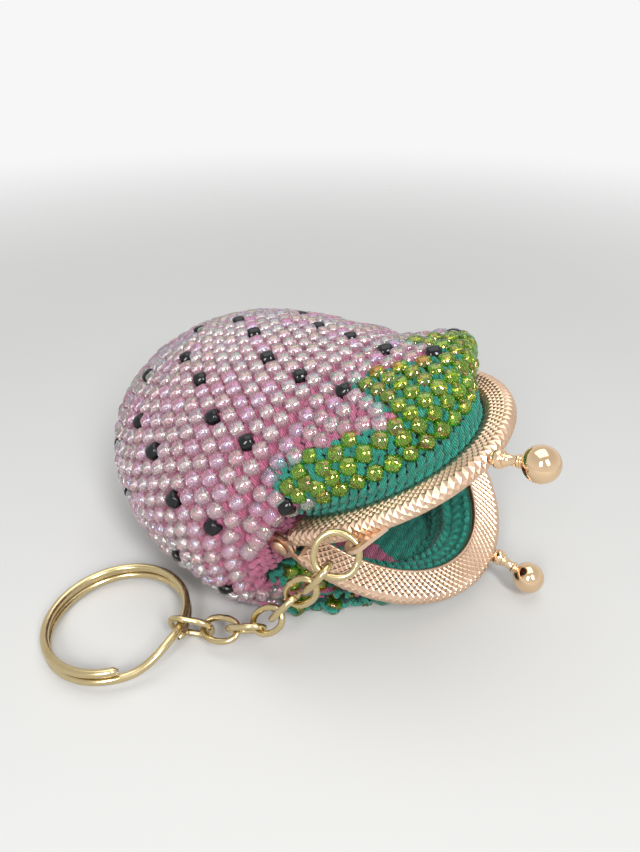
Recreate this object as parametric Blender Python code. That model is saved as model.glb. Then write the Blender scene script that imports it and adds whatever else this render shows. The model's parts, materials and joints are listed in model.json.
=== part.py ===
"""A beaded crochet coin purse lying ajar on its back, with its kiss-clasp frame and a key ring on a chain.

+X runs from the pouch's tip to its mouth, +Y to the far end of the hinge, and +Z up.
The origin is the middle of the flat patch that the pouch rests on.
"""

import math

import bmesh
import bpy
from mathutils import Matrix, Vector

# Gap between pieces that touch
CLEARANCE = 0.0003

# Frame: two sheet-metal channels bent into half ellipses, on one hinge axis
FRAME_WIDTH = 0.0574
FRAME_RISE = 0.0368
SHEET = 0.00055
INNER_WALL_DEPTH = 0.0060
OUTER_WALL_DEPTH = 0.0050
JAW_THICKNESS = 0.0032
RIM_ROUND = 0.0013
HINGE_AHEAD = 0.0200
HINGE_HEIGHT = 0.0268
FRAME_ROLL = math.radians(13.0)
FRONT_ANGLE = math.radians(26.4)
BACK_ANGLE = math.radians(-31.8)

# Hinge: an eye at each end of each channel, and a rivet through each pair
EYE_RADIUS = 0.0030
CHANNEL_START = 0.0040
RIVET_RADIUS = 0.0009
RIVET_HEAD_RADIUS = 0.0019
RIVET_HEAD_HEIGHT = 0.0007
RIVET_CROWN_RADIUS = 0.0012

# Ball clasps, one on each channel, that pass side by side
BALL_DIAMETER = 0.0066
BALL_REACH = 0.0088
STEM_DIAMETER = 0.0020
COLLAR_DIAMETER = 0.0036
COLLAR_LENGTH = 0.0026
COLLAR_FOOT_DIAMETER = 0.0025
CLASP_OFFSET = 0.0041
CLASP_LEAN = math.radians(10.0)

# Crochet fabric: its edge is packed into the channels with a paper cord
FABRIC = 0.0030
EDGE_FABRIC = 0.0012
CORD_DIAMETER = 0.0012
FLAP_START = 0.0048
FLAP_RISE = 0.0030
HINGE_LIFT = 0.0012
FRONT_BULGE = Vector((0.0035, 0.0060, 0.0018))
BACK_BULGE = Vector((0.0020, 0.0055, 0.0120))
FLAP_SPREAD = 0.0040
FLAP_SIDE = math.radians(2.0)
SWELL_SHARE = 0.4
SIDE_SLACKNESS = 0.9
LEAST_RISE = 0.5
SEAM = 0.0007

# Pouch: a plump bag that narrows to its tip, flat where it rests
POUCH_WIDTH = 0.0780
POUCH_ABOVE = 0.0260
POUCH_BELOW = 0.0250
POUCH_TAIL = 0.0525
MOUTH_WIDTH = 0.0695
BELLY_BEHIND_HINGE = 0.0160
MOUTH_BEHIND_HINGE = 0.0042
BELLY_HEIGHT = 0.0225
TIP_HEIGHT = 0.0210
MOUTH_BELOW_HINGE = 0.0030
TIP_DRIFT = 0.0085
DRIFT_CURVE = 1.5
POUCH_ROLL = math.radians(8.0)
ROUND_TOP = 2.1
ROUND_BOTTOM = 2.2
MOUTH_BOTTOM = 4.0
TAIL_TAPER = 2.3
TAIL_ROUND = 2.2
TIP_ANGLE = math.radians(4.0)

# Beads: each round of the pouch and each row of a flap stands up as a ridge, past a bare edge at the frame
ROUND_PITCH = 0.00365
ROUND_GROOVE = 0.0013
FLAP_ROWS = 9
ROW_GROOVE = 0.0010
GROOVE_SLOPE = 0.28
BARE_EDGE = 0.0044

# Ear on the front channel, and the jump ring through it
EAR_ANGLE = 0.535
EAR_ROOT_ANGLE = 0.70
EAR_REACH = 0.0018
EAR_RADIUS = 0.0021
EAR_HOLE_RADIUS = 0.0012
JUMP_RING_DIAMETER = 0.0092
WIRE = 0.0013
JUMP_RING_FACING = Vector((0.45, -0.75, 0.48))

# Chain of oval links from the jump ring down to the table
LINK_COUNT = 7
LINK_LENGTH = 0.0088
LINK_WIDTH = 0.0062
END_LINK_LENGTH = 0.0098
END_LINK_WIDTH = 0.0078
LINK_PLAY = 0.00045
CHAIN_LEAN = Vector((0.18, -0.25, 0.95))
CHAIN_REST_HEIGHT = 0.0039
CHAIN_BESIDE_POUCH = 0.0112
# From the jump ring to the chain's end: distance back along X, share of the way out beside the pouch,
# and share of the drop still to go
CHAIN_ROUTE = (
    (0.0, 0.0, 1.0),
    (0.0052, 0.069, 0.62),
    (0.0120, 0.253, 0.17),
    (0.0203, 0.437, 0.01),
    (0.0303, 0.718, 0.0),
    (0.0408, 1.0, 0.0),
)

# Split ring: two turns of one wire
SPLIT_RING_DIAMETER = 0.0300
SPLIT_WIRE = 0.0017
SPLIT_TURN_GAP = 0.00045
SPLIT_CLIMB = math.radians(42.0)
SPLIT_CLIMB_START = math.radians(121.0)
SPLIT_END_GAP = math.radians(6.0)

# How finely round shapes are divided
ARCH_STEPS = 30
POUCH_AROUND = 44
POUCH_ALONG = 12
FLAP_ACROSS = 28
EDGE_STEPS = 3
FINE_STEPS = 12
ROUND_SIDES = 14
RING_STEPS = 28
SPLIT_STEPS = 60

HALF_WIDTH = FRAME_WIDTH / 2
HINGE = Vector((HINGE_AHEAD, 0, HINGE_HEIGHT))
CONTACT = CLEARANCE / 2
EYE_STEP = SHEET + CLEARANCE
CORD_DEPTH = RIM_ROUND + CORD_DIAMETER / 2
EDGE_LEVEL = (CONTACT + JAW_THICKNESS + EDGE_FABRIC) / 2


def clear_scene():
    for thing in list(bpy.data.objects):
        bpy.data.objects.remove(thing)


def material(name, colour, roughness, metallic):
    made = bpy.data.materials.new(name)
    made.use_nodes = True
    shader = made.node_tree.nodes["Principled BSDF"]
    shader.inputs["Base Color"].default_value = (*colour, 1)
    shader.inputs["Roughness"].default_value = roughness
    shader.inputs["Metallic"].default_value = metallic
    return made


def add_object(name, data, look, frame, parent=None):
    """Add data, drawn in the axes of frame, under a parent given as (object, its frame)."""
    thing = bpy.data.objects.new(name, data)
    bpy.context.collection.objects.link(thing)
    if look:
        data.materials.append(look)
    if parent:
        thing.parent = parent[0]
        thing.matrix_basis = parent[1].inverted() @ frame
    else:
        thing.matrix_basis = frame
    return thing


def add_cutter(name, data, frame):
    cutter = add_object(name, data, None, frame)
    cutter.hide_render = True
    cutter.display_type = "WIRE"
    return cutter


def boolean(thing, operation, tool):
    modifier = thing.modifiers.new(tool.name, "BOOLEAN")
    modifier.operation = operation
    modifier.object = tool


def finish_mesh(name, bm, sharp=math.radians(40)):
    bmesh.ops.recalc_face_normals(bm, faces=bm.faces)
    mesh = bpy.data.meshes.new(name)
    bm.to_mesh(mesh)
    bm.free()
    mesh.shade_smooth()
    mesh.set_sharp_from_angle(angle=sharp)
    return mesh


def skin_rings(bm, rings, closed):
    """Faces between successive rings of points. Each ring is a loop if closed, and otherwise a row."""
    rows = [[bm.verts.new(point) for point in ring] for ring in rings]
    for row, after in zip(rows, rows[1:]):
        count = len(row)
        for i in range(count if closed else count - 1):
            j = (i + 1) % count
            bm.faces.new((row[i], row[j], after[j], after[i]))
    return rows


def lofted(name, rings):
    """A closed solid through rings of points, with a flat cap at each end."""
    bm = bmesh.new()
    rows = skin_rings(bm, rings, True)
    bm.faces.new(rows[0])
    bm.faces.new(rows[-1])
    return finish_mesh(name, bm)


def turned(name, profile, sides=ROUND_SIDES):
    """A solid of revolution about X, from (distance along X, radius) pairs."""
    rings = []
    for along, radius in profile:
        turn = [2 * math.pi * i / sides for i in range(sides)]
        rings.append([Vector((along, radius * math.cos(a), radius * math.sin(a))) for a in turn])
    return lofted(name, rings)


def wire(name, points, diameter, cyclic):
    """A round wire or cord along points."""
    curve = bpy.data.curves.new(name, "CURVE")
    curve.dimensions = "3D"
    curve.bevel_depth = diameter / 2
    curve.bevel_resolution = 2
    curve.use_fill_caps = not cyclic
    spline = curve.splines.new("POLY")
    spline.points.add(len(points) - 1)
    for slot, point in zip(spline.points, points):
        slot.co = (*point, 1)
    spline.use_cyclic_u = cyclic
    return curve


def smooth_path(points, steps):
    """Points on a smooth curve through the given ones, with steps to each span."""
    ends = [2 * points[0] - points[1], *points, 2 * points[-1] - points[-2]]
    path = []
    for before, start, end, after in zip(ends, ends[1:], ends[2:], ends[3:]):
        span = (end - start).length
        leave = (end - before) * span / ((end - start).length + (start - before).length)
        arrive = (after - start) * span / ((after - end).length + (end - start).length)
        for i in range(steps):
            t = i / steps
            path.append(
                start * (1 + 2 * t) * (1 - t) ** 2
                + leave * t * (1 - t) ** 2
                + end * t * t * (3 - 2 * t)
                + arrive * t * t * (t - 1)
            )
    return [*path, points[-1]]


def lengths_along(points):
    """Distance of each point from the first, along the line through them all."""
    reach = [0.0]
    for before, after in zip(points, points[1:]):
        reach.append(reach[-1] + (after - before).length)
    return reach


def at_distance(values, reach, distance):
    """The value at a distance along a line, between those of the two points on either side of it."""
    for low, high, start, end in zip(values, values[1:], reach, reach[1:]):
        if distance <= end:
            share = (distance - start) / (end - start)
            return low * (1 - share) + high * share
    return values[-1]


def hinge_frame(angle, outward_up):
    """Axes of a channel: X away from the hinge, Y along it and Z out of the purse."""
    frame = Matrix.Translation(HINGE) @ Matrix.Rotation(FRAME_ROLL, 4, "X") @ Matrix.Rotation(-angle, 4, "Y")
    return frame if outward_up else frame @ Matrix.Rotation(math.pi, 4, "X")


def arch(half_width, angle, inward, outward):
    """A point of the half ellipse, moved square to it into the arch and out of its plane."""
    normal = Vector((math.sin(angle) / FRAME_RISE, -math.cos(angle) / half_width, 0)).normalized()
    rim = Vector((FRAME_RISE * math.sin(angle), -half_width * math.cos(angle), 0))
    return rim - normal * inward + Vector((0, 0, outward))


def arch_start(height):
    return math.asin(height / FRAME_RISE)


def spread(start, end, steps):
    return [start + (end - start) * i / steps for i in range(steps + 1)]


def channel_section():
    """The channel's outline, as (depth into the arch, distance out of the contact plane)."""
    outside, lip = JAW_THICKNESS, RIM_ROUND
    return (
        (INNER_WALL_DEPTH, CONTACT),
        (lip / 3, CONTACT),
        (0, CONTACT + lip / 3),
        (0, outside - lip),
        (lip / 3, outside - lip / 3),
        (lip, outside),
        (OUTER_WALL_DEPTH, outside),
        (OUTER_WALL_DEPTH, outside - SHEET),
        (lip + SHEET, outside - SHEET),
        (SHEET, outside - lip - SHEET / 2),
        (SHEET, CONTACT + SHEET),
        (INNER_WALL_DEPTH, CONTACT + SHEET),
    )


def eye_plate(name, side, plate):
    """The flat end of a channel: a round eye with a tongue that runs on into the channel's web."""
    bm = bmesh.new()
    tongue = CHANNEL_START + SHEET * 2
    low, high = CONTACT + SHEET, JAW_THICKNESS - RIM_ROUND
    turn = spread(math.asin(high / EYE_RADIUS), 2 * math.pi + math.asin(low / EYE_RADIUS), ROUND_SIDES)
    outline = [(EYE_RADIUS * math.cos(a), EYE_RADIUS * math.sin(a)) for a in turn]
    outline += [(tongue, low), (tongue, high)]
    face = bm.faces.new([bm.verts.new((x, side * plate, z)) for x, z in outline])
    pushed = bmesh.ops.extrude_face_region(bm, geom=[face])["geom"]
    corners = [v for v in pushed if isinstance(v, bmesh.types.BMVert)]
    bmesh.ops.translate(bm, verts=corners, vec=(0, -side * SHEET, 0))
    return finish_mesh(name, bm)


def ear_plate(name):
    """A tongue lifted off the front channel's rim, round where its hole is."""
    tip = arch(HALF_WIDTH, EAR_ANGLE, -EAR_REACH, CONTACT)
    root = arch(HALF_WIDTH, EAR_ROOT_ANGLE, SHEET, CONTACT)
    along = (tip - root).normalized()
    across = Vector((-along.y, along.x, 0))
    turn = spread(-math.pi / 2, math.pi / 2, ROUND_SIDES // 2)
    outline = [tip + (along * math.cos(a) + across * math.sin(a)) * EAR_RADIUS for a in turn]
    outline += [root + across * SHEET, root - across * SHEET]
    bm = bmesh.new()
    face = bm.faces.new([bm.verts.new(point) for point in outline])
    pushed = bmesh.ops.extrude_face_region(bm, geom=[face])["geom"]
    corners = [v for v in pushed if isinstance(v, bmesh.types.BMVert)]
    bmesh.ops.translate(bm, verts=corners, vec=(0, 0, SHEET + CLEARANCE))
    return finish_mesh(name, bm), tip


def drill(name, centre, axis, radius, length):
    """A cutter along an axis, about its middle."""
    ends = ((-length / 2, radius), (length / 2, radius))
    place = Matrix.Translation(centre) @ axis.to_track_quat("X", "Z").to_matrix().to_4x4()
    mesh = turned(name, ends)
    mesh.transform(place)
    return mesh


def jaw(name, half_width, frame, look, parent):
    """A channel bent round the arch, with an eye at each end."""
    start = arch_start(CHANNEL_START)
    section = channel_section()
    stations = spread(start, math.pi - start, ARCH_STEPS)
    rings = [[arch(half_width, angle, *corner) for corner in section] for angle in stations]
    thing = add_object(name, lofted(name, rings), look, frame, parent)
    for side, end in ((-1, "near"), (1, "far")):
        plate = eye_plate(f"{name}_{end}_eye", side, half_width)
        boolean(thing, "UNION", add_cutter(plate.name, plate, frame))
    hole = drill(f"{name}_rivet_hole", Vector(), Vector((0, 1, 0)), RIVET_RADIUS + CLEARANCE, FRAME_WIDTH * 2)
    boolean(thing, "DIFFERENCE", add_cutter(hole.name, hole, frame))
    return thing


def clasp(name, frame, look, parent):
    """Collar, stem and ball, turned in one piece, standing on the top of a channel."""
    seat = FRAME_RISE * math.sqrt(1 - (CLASP_OFFSET / HALF_WIDTH) ** 2) + CLEARANCE
    ball, stem, collar = BALL_DIAMETER / 2, STEM_DIAMETER / 2, COLLAR_DIAMETER / 2
    chamfer = COLLAR_LENGTH / 4
    profile = [
        (0, COLLAR_FOOT_DIAMETER / 2),
        (chamfer, collar),
        (COLLAR_LENGTH - chamfer, collar),
        (COLLAR_LENGTH, stem),
    ]
    neck = math.asin(stem / ball)
    for angle in spread(math.pi - neck, math.pi / ROUND_SIDES, ROUND_SIDES // 2 + 1):
        profile.append((BALL_REACH + ball * math.cos(angle), ball * math.sin(angle)))
    place = frame @ Matrix.Translation((seat, -CLASP_OFFSET, JAW_THICKNESS / 2))
    place = place @ Matrix.Rotation(CLASP_LEAN, 4, "Y")
    return add_object(name, turned(name, profile), look, place, parent)


def packing_cord(name, half_width, frame, look, parent):
    """A paper cord pressed into the channel behind the fabric's edge."""
    level = CONTACT + SHEET + CLEARANCE + CORD_DIAMETER / 2
    start = arch_start(FLAP_START)
    points = [arch(half_width, a, CORD_DEPTH, level) for a in spread(start, math.pi - start, ARCH_STEPS)]
    return add_object(name, wire(name, points, CORD_DIAMETER, False), look, frame, parent)


def rivet(name, side, look):
    """A rivet along the hinge axis through the two eyes of one end."""
    outer = HALF_WIDTH + CLEARANCE
    inner = HALF_WIDTH - EYE_STEP - SHEET - CLEARANCE
    profile = (
        (inner - RIVET_HEAD_HEIGHT, RIVET_HEAD_RADIUS),
        (inner, RIVET_HEAD_RADIUS),
        (inner, RIVET_RADIUS),
        (outer, RIVET_RADIUS),
        (outer, RIVET_HEAD_RADIUS),
        (outer + RIVET_HEAD_HEIGHT, RIVET_CROWN_RADIUS),
    )
    axis = hinge_frame(0, True) @ Matrix.Rotation(side * math.pi / 2, 4, "Z")
    return add_object(name, turned(name, profile), look, axis)


def pouch_point(behind_hinge, around, inset=0, lowest=0):
    """The pouch's outside, or a surface at an inset; around is 0 at the near side and runs over the top."""
    tail = (behind_hinge - BELLY_BEHIND_HINGE) / POUCH_TAIL
    reach = (behind_hinge - BELLY_BEHIND_HINGE) / (POUCH_TAIL - inset)
    full = (1 - min(abs(reach), 1) ** TAIL_TAPER) ** (1 / TAIL_ROUND)
    height = BELLY_HEIGHT + (TIP_HEIGHT - BELLY_HEIGHT) * tail
    half_width, bottom, roll = POUCH_WIDTH / 2, ROUND_BOTTOM, POUCH_ROLL
    if tail < 0:
        forward = (BELLY_BEHIND_HINGE - behind_hinge) / (BELLY_BEHIND_HINGE - MOUTH_BEHIND_HINGE)
        height = BELLY_HEIGHT + (HINGE_HEIGHT - MOUTH_BELOW_HINGE - BELLY_HEIGHT) * forward
        half_width += (MOUTH_WIDTH - POUCH_WIDTH) / 2 * forward**2
        bottom += (MOUTH_BOTTOM - ROUND_BOTTOM) * forward
        roll += (FRAME_ROLL - POUCH_ROLL) * forward
    over = math.sin(around) > 0
    power = 2 / (ROUND_TOP if over else bottom)
    depth = (POUCH_ABOVE if over else POUCH_BELOW) - inset
    wide = -math.copysign(abs(math.cos(around)) ** power, math.cos(around)) * full * (half_width - inset)
    tall = math.copysign(abs(math.sin(around)) ** power, math.sin(around)) * full * depth
    y = wide * math.cos(roll) - tall * math.sin(roll) + TIP_DRIFT * max(tail, 0) ** DRIFT_CURVE
    z = height + wide * math.sin(roll) + tall * math.cos(roll)
    return Vector((HINGE_AHEAD - behind_hinge, y, max(z, lowest)))


def pouch_ring(turn, inset, lowest=0):
    behind = BELLY_BEHIND_HINGE + (POUCH_TAIL - inset) * math.cos(turn)
    return [pouch_point(behind, 2 * math.pi * i / POUCH_AROUND, inset, lowest) for i in range(POUCH_AROUND)]


def pouch_turns(inset, steps):
    """Turns from the pouch's tip to its mouth."""
    rim = MOUTH_BEHIND_HINGE + SEAM / 2
    return spread(TIP_ANGLE, math.acos((rim - BELLY_BEHIND_HINGE) / (POUCH_TAIL - inset)), steps)


def ridged_rings():
    """Rings of the pouch's outside: a crest on every round of beads and a groove between each two, but flat below."""
    turns = pouch_turns(0, FINE_STEPS * POUCH_ALONG)
    tops = [pouch_point(BELLY_BEHIND_HINGE + POUCH_TAIL * math.cos(turn), math.pi / 2) for turn in turns]
    reach = lengths_along(tops)
    halves = 2 * round(reach[-1] / ROUND_PITCH)
    rings = []
    for i in range(halves + 1):
        groove = i % 2 == 0 and 0 < i < halves
        turn = at_distance(turns, reach, reach[-1] * i / halves)
        rings.append(pouch_ring(turn, ROUND_GROOVE if groove else 0))
    return rings


def pouch_body(look):
    """The bag behind the hinge: a shell, closed at its tip and open at its mouth."""
    bm = bmesh.new()
    outside = skin_rings(bm, ridged_rings(), True)
    hollow = [pouch_ring(turn, FABRIC, FABRIC) for turn in pouch_turns(FABRIC, POUCH_ALONG)]
    inside = skin_rings(bm, hollow, True)
    bm.faces.new(outside[0])
    bm.faces.new(inside[0])
    for i in range(POUCH_AROUND):
        bm.faces.new((outside[-1][i - 1], outside[-1][i], inside[-1][i], inside[-1][i - 1]))
    return add_object("pouch_body", finish_mesh("pouch_body", bm), look, Matrix())


def settled(point, lowest):
    """A flap's point, kept ahead of the pouch's mouth and above the table."""
    return Vector((max(point.x, HINGE_AHEAD - MOUTH_BEHIND_HINGE + SEAM / 2), point.y, max(point.z, lowest)))


def flap_path(half_width, frame, angle, around, bulge):
    """The fabric's outside at one place along the arch, from its tucked edge to the pouch."""
    fullness = math.sin(angle) ** SIDE_SLACKNESS
    rise = FLAP_RISE * (LEAST_RISE + (1 - LEAST_RISE) * fullness)
    depth = CORD_DEPTH + CORD_DIAMETER / 2 + CLEARANCE
    clear = OUTER_WALL_DEPTH + SHEET
    tucked = frame @ arch(half_width, angle, depth, EDGE_LEVEL)
    mouth = frame @ arch(half_width, angle, clear, EDGE_LEVEL)
    raised = frame @ arch(half_width, angle, clear, EDGE_LEVEL + rise)
    seam = pouch_point(MOUTH_BEHIND_HINGE - SEAM / 2, around)
    beyond = pouch_point(BELLY_BEHIND_HINGE, around)
    outward = arch(half_width, angle, -FLAP_SPREAD, 0) - arch(half_width, angle, 0, 0) + bulge
    lift = outward * fullness + Vector((0, 0, HINGE_LIFT))
    swell = raised.lerp(seam, SWELL_SHARE) + frame.to_3x3() @ lift
    path = smooth_path([tucked, mouth, raised, swell, seam, beyond], FINE_STEPS)[FINE_STEPS:-FINE_STEPS]
    reach = lengths_along(path)
    stops = [0, BARE_EDGE / 2, *spread(BARE_EDGE, reach[-1], 2 * FLAP_ROWS)]
    return [settled(point, 0) for point in (tucked, *(at_distance(path, reach, stop) for stop in stops))]


def outward_at(rows, i, j):
    """The direction out of a flap at one of its points."""
    before, after = rows[max(i - 1, 0)], rows[min(i + 1, len(rows) - 1)]
    return (after[j] - before[j]).cross(rows[i][j + 1] - rows[i][j - 1]).normalized()


def ridged(rows):
    """The outside of a flap with a groove between each two rows of beads."""
    grooved = [list(row) for row in rows]
    for i, row in enumerate(rows):
        for j in range(EDGE_STEPS + 2, len(row) - 1, 2):
            depth = min(ROW_GROOVE, (row[j + 1] - row[j - 1]).length * GROOVE_SLOPE)
            grooved[i][j] = settled(row[j] - outward_at(rows, i, j) * depth, 0)
    return grooved


def inside_of(rows, frame, seams):
    """The inside of a flap: its outside moved in by the fabric's thickness, which is less at the edge."""
    tuck = frame.to_3x3() @ Vector((0, 0, -EDGE_FABRIC))
    moved = []
    for i, row in enumerate(rows):
        inner = []
        for j, point in enumerate(row):
            if j <= 1:
                inner.append(point + tuck)
            elif j == len(row) - 1:
                inner.append(seams[i])
            else:
                share = min((j - 1) / EDGE_STEPS, 1)
                thick = EDGE_FABRIC + (FABRIC - EDGE_FABRIC) * share
                inner.append(settled(point - outward_at(rows, i, j) * thick, CLEARANCE))
        moved.append(inner)
    return moved


def flap(name, half_width, frame, over, bulge, look, parent):
    """The fabric between the pouch and one channel, thin where its edge is tucked in."""
    start = arch_start(FLAP_START)
    angles = spread(start, math.pi - start, FLAP_ACROSS)
    side = FLAP_SIDE if over else -FLAP_SIDE
    turns = spread(side, (math.pi if over else -math.pi) - side, FLAP_ACROSS)
    if not over:
        turns.reverse()
    outer = [flap_path(half_width, frame, a, t, bulge) for a, t in zip(angles, turns)]
    seams = [pouch_point(MOUTH_BEHIND_HINGE - SEAM / 2, t, FABRIC, FABRIC) for t in turns]
    bm = bmesh.new()
    rims = []
    for rows in (ridged(outer), inside_of(outer, frame, seams)):
        grid = skin_rings(bm, [[frame.inverted() @ p for p in row] for row in rows], False)
        far, near = [row[-1] for row in grid], [row[0] for row in grid]
        rims.append(grid[0] + far[1:-1] + grid[-1][::-1] + near[-2:0:-1])
    outside, inside = rims
    for i in range(len(outside)):
        bm.faces.new((outside[i - 1], outside[i], inside[i], inside[i - 1]))
    return add_object(name, finish_mesh(name, bm), look, frame, parent)


def loop_points(length, width, start, steps):
    """The middle line of an oval link in the XY plane, from x = start."""
    bend = width / 2
    straight = length - width
    points = []
    for i in range(steps):
        angle = 2 * math.pi * (i + 0.5) / steps
        shift = straight / 2 if math.cos(angle) > 0 else -straight / 2
        x = start + length / 2 + shift + bend * math.cos(angle)
        points.append(Vector((x, bend * math.sin(angle), 0)))
    return points


def axes_at(origin, x_axis, y_axis):
    """A frame with its X along x_axis and its Y as near y_axis as is square to that."""
    x = x_axis.normalized()
    y = (y_axis - x * y_axis.dot(x)).normalized()
    turn = Matrix((x, y, x.cross(y))).transposed().to_4x4()
    return Matrix.Translation(origin) @ turn


def split_ring_points():
    """Two turns of wire about Z: level, up by one wire, and level again."""
    radius = (SPLIT_RING_DIAMETER - SPLIT_WIRE) / 2
    pitch = SPLIT_WIRE + SPLIT_TURN_GAP
    total = 4 * math.pi - SPLIT_CLIMB - 2 * SPLIT_END_GAP
    begin = SPLIT_CLIMB_START + SPLIT_CLIMB + SPLIT_END_GAP
    climb_at = 2 * math.pi - SPLIT_CLIMB - SPLIT_END_GAP
    points = []
    for angle in spread(0, total, SPLIT_STEPS):
        share = min(max((angle - climb_at) / SPLIT_CLIMB, 0), 1)
        lift = pitch * (share * share * (3 - 2 * share) - 0.5)
        turn = begin + angle
        points.append(Vector((radius * math.cos(turn), radius * math.sin(turn), lift)))
    return points


def print_least_gap(points, diameter):
    """Say how near the wire comes to itself, past its own neighbouring points."""
    skip = SPLIT_STEPS // 6
    gaps = [(p - q).length for i, p in enumerate(points) for q in points[i + skip :]]
    print(f"split ring: least gap to itself {(min(gaps) - diameter) * 1000:.2f} mm")


def march(path, start, stride):
    """The first point of the path past start that lies a stride from it, and what is left of the path."""
    for i, (before, after) in enumerate(zip(path, path[1:])):
        if (after - start).length >= stride:
            near, far = (before - start).length, (after - start).length
            return before.lerp(after, (stride - near) / (far - near)), path[i + 1 :]
    raise ValueError("the chain's route is too short for its links")


def build_chain(hole, jaw_frame, look, parent):
    """The jump ring through the ear, the links below it, and the split ring that lies on the table."""
    ring_radius = (JUMP_RING_DIAMETER - WIRE) / 2
    out = jaw_frame.to_3x3() @ Vector((0, 0, 1))
    facing = JUMP_RING_FACING.normalized()
    through = (out - facing * out.dot(facing)).normalized()
    centre = hole + facing.cross(through) * ring_radius
    ring_frame = axes_at(hole, centre - hole, through)
    loop = loop_points(2 * ring_radius, 2 * ring_radius, 0, RING_STEPS)
    ring = add_object("jump_ring", wire("jump_ring", loop, WIRE, True), look, ring_frame, parent)
    beside = -POUCH_WIDTH / 2 - CHAIN_BESIDE_POUCH
    back, aside, left = CHAIN_ROUTE[1]
    pull = Vector((-back, aside * (beside - centre.y), (left - 1) * (centre.z - CHAIN_REST_HEIGHT)))
    joint = centre + (pull - facing * pull.dot(facing)).normalized() * ring_radius

    laid = Vector((joint.x, beside, CHAIN_REST_HEIGHT))
    away = joint - laid
    stops = [laid + Vector((-back, away.y * (1 - aside), away.z * left)) for back, aside, left in CHAIN_ROUTE]
    path = smooth_path(stops, RING_STEPS)
    behind = WIRE + LINK_PLAY
    holder = (ring, ring_frame)
    for number in range(1, LINK_COUNT + 1):
        last = number == LINK_COUNT
        length = (END_LINK_LENGTH if last else LINK_LENGTH) - WIRE
        width = (END_LINK_WIDTH if last else LINK_WIDTH) - WIRE
        end, path = march(path, joint, length - behind)
        along = (end - joint).normalized()
        upright = facing.lerp(CHAIN_LEAN, (number - 1) / (LINK_COUNT - 1))
        lean = (upright - along * upright.dot(along)).normalized()
        link_frame = axes_at(joint, along, lean if number % 2 else along.cross(lean))
        name = f"chain_link_{number}"
        loop = loop_points(length, width, -behind, RING_STEPS // 2)
        link = add_object(name, wire(name, loop, WIRE, True), look, link_frame, holder)
        holder = (link, link_frame)
        joint = end

    stack = 2 * SPLIT_WIRE + SPLIT_TURN_GAP
    split_radius = (SPLIT_RING_DIAMETER - SPLIT_WIRE) / 2
    end_bend = END_LINK_WIDTH / 2 - WIRE
    half_stack = (SPLIT_WIRE + SPLIT_TURN_GAP) / 2 / lean.z
    reach = end_bend - LINK_PLAY - SPLIT_WIRE / 2
    inside = WIRE / 2 + end_bend - math.sqrt(reach**2 - half_stack**2)
    level = Vector((along.x, along.y, 0))
    tilt = math.asin((joint.z - stack / 2) / (2 * split_radius))
    across = Vector((0, 0, 1)).cross(level)
    down = Matrix.Rotation(tilt, 3, across) @ level
    split_frame = axes_at(joint, down, across)
    points = split_ring_points()
    print_least_gap(points, SPLIT_WIRE)
    points = [point + Vector((split_radius - inside, 0, 0)) for point in points]
    add_object("split_ring", wire("split_ring", points, SPLIT_WIRE, False), look, split_frame, holder)


def main():
    clear_scene()
    rose_gold = material("rose_gold", (0.80, 0.56, 0.42), 0.32, 1.0)
    gold = material("polished_gold", (0.85, 0.62, 0.40), 0.12, 1.0)
    brass = material("pale_brass", (0.68, 0.54, 0.27), 0.25, 1.0)
    pink = material("pink_beads", (0.78, 0.45, 0.62), 0.25, 0.0)
    green = material("green_beads_on_teal", (0.10, 0.50, 0.32), 0.45, 0.0)
    paper = material("paper_cord", (0.72, 0.62, 0.46), 0.8, 0.0)

    front = hinge_frame(FRONT_ANGLE, True)
    back = hinge_frame(BACK_ANGLE, False)
    front_pivot = (add_object("front_pivot", None, None, front), front)
    back_pivot = (add_object("back_pivot", None, None, back), back)
    inner_half = HALF_WIDTH - EYE_STEP

    pouch_body(pink)
    flap("front_flap", HALF_WIDTH, front, True, FRONT_BULGE, green, front_pivot)
    flap("back_flap", inner_half, back, False, BACK_BULGE, green, back_pivot)

    front_jaw = jaw("front_jaw", HALF_WIDTH, front, rose_gold, front_pivot)
    jaw("back_jaw", inner_half, back, rose_gold, back_pivot)
    ear, hole = ear_plate("ear")
    boolean(front_jaw, "UNION", add_cutter("ear", ear, front))
    bore = drill("ear_hole", hole, Vector((0, 0, 1)), EAR_HOLE_RADIUS, JAW_THICKNESS)
    boolean(front_jaw, "DIFFERENCE", add_cutter("ear_hole", bore, front))

    clasp("front_clasp", front, gold, front_pivot)
    clasp("back_clasp", back, gold, back_pivot)
    packing_cord("front_packing_cord", HALF_WIDTH, front, paper, front_pivot)
    packing_cord("back_packing_cord", inner_half, back, paper, back_pivot)
    rivet("near_rivet", -1, rose_gold)
    rivet("far_rivet", 1, rose_gold)

    middle = hole + Vector((0, 0, (SHEET + CLEARANCE) / 2))
    build_chain(front @ middle, front, brass, front_pivot)


main()
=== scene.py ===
# %% [markdown]
# # A beaded crochet coin purse
# The real purse is a small crocheted bag with a glass bead on nearly every stitch, sewn into a metal frame
# with two kiss-clasp balls, and a short chain with a key ring. The CAD model gives every place and every
# joint, so it is loaded first and never changed: the pieces below are dressed onto it.

# %% Load the CAD model
import json
import random
from math import acos, asin, copysign, cos, hypot, pi, radians, sin, sqrt

import bpy
import numpy as np
from mathutils import Matrix, Vector


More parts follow.
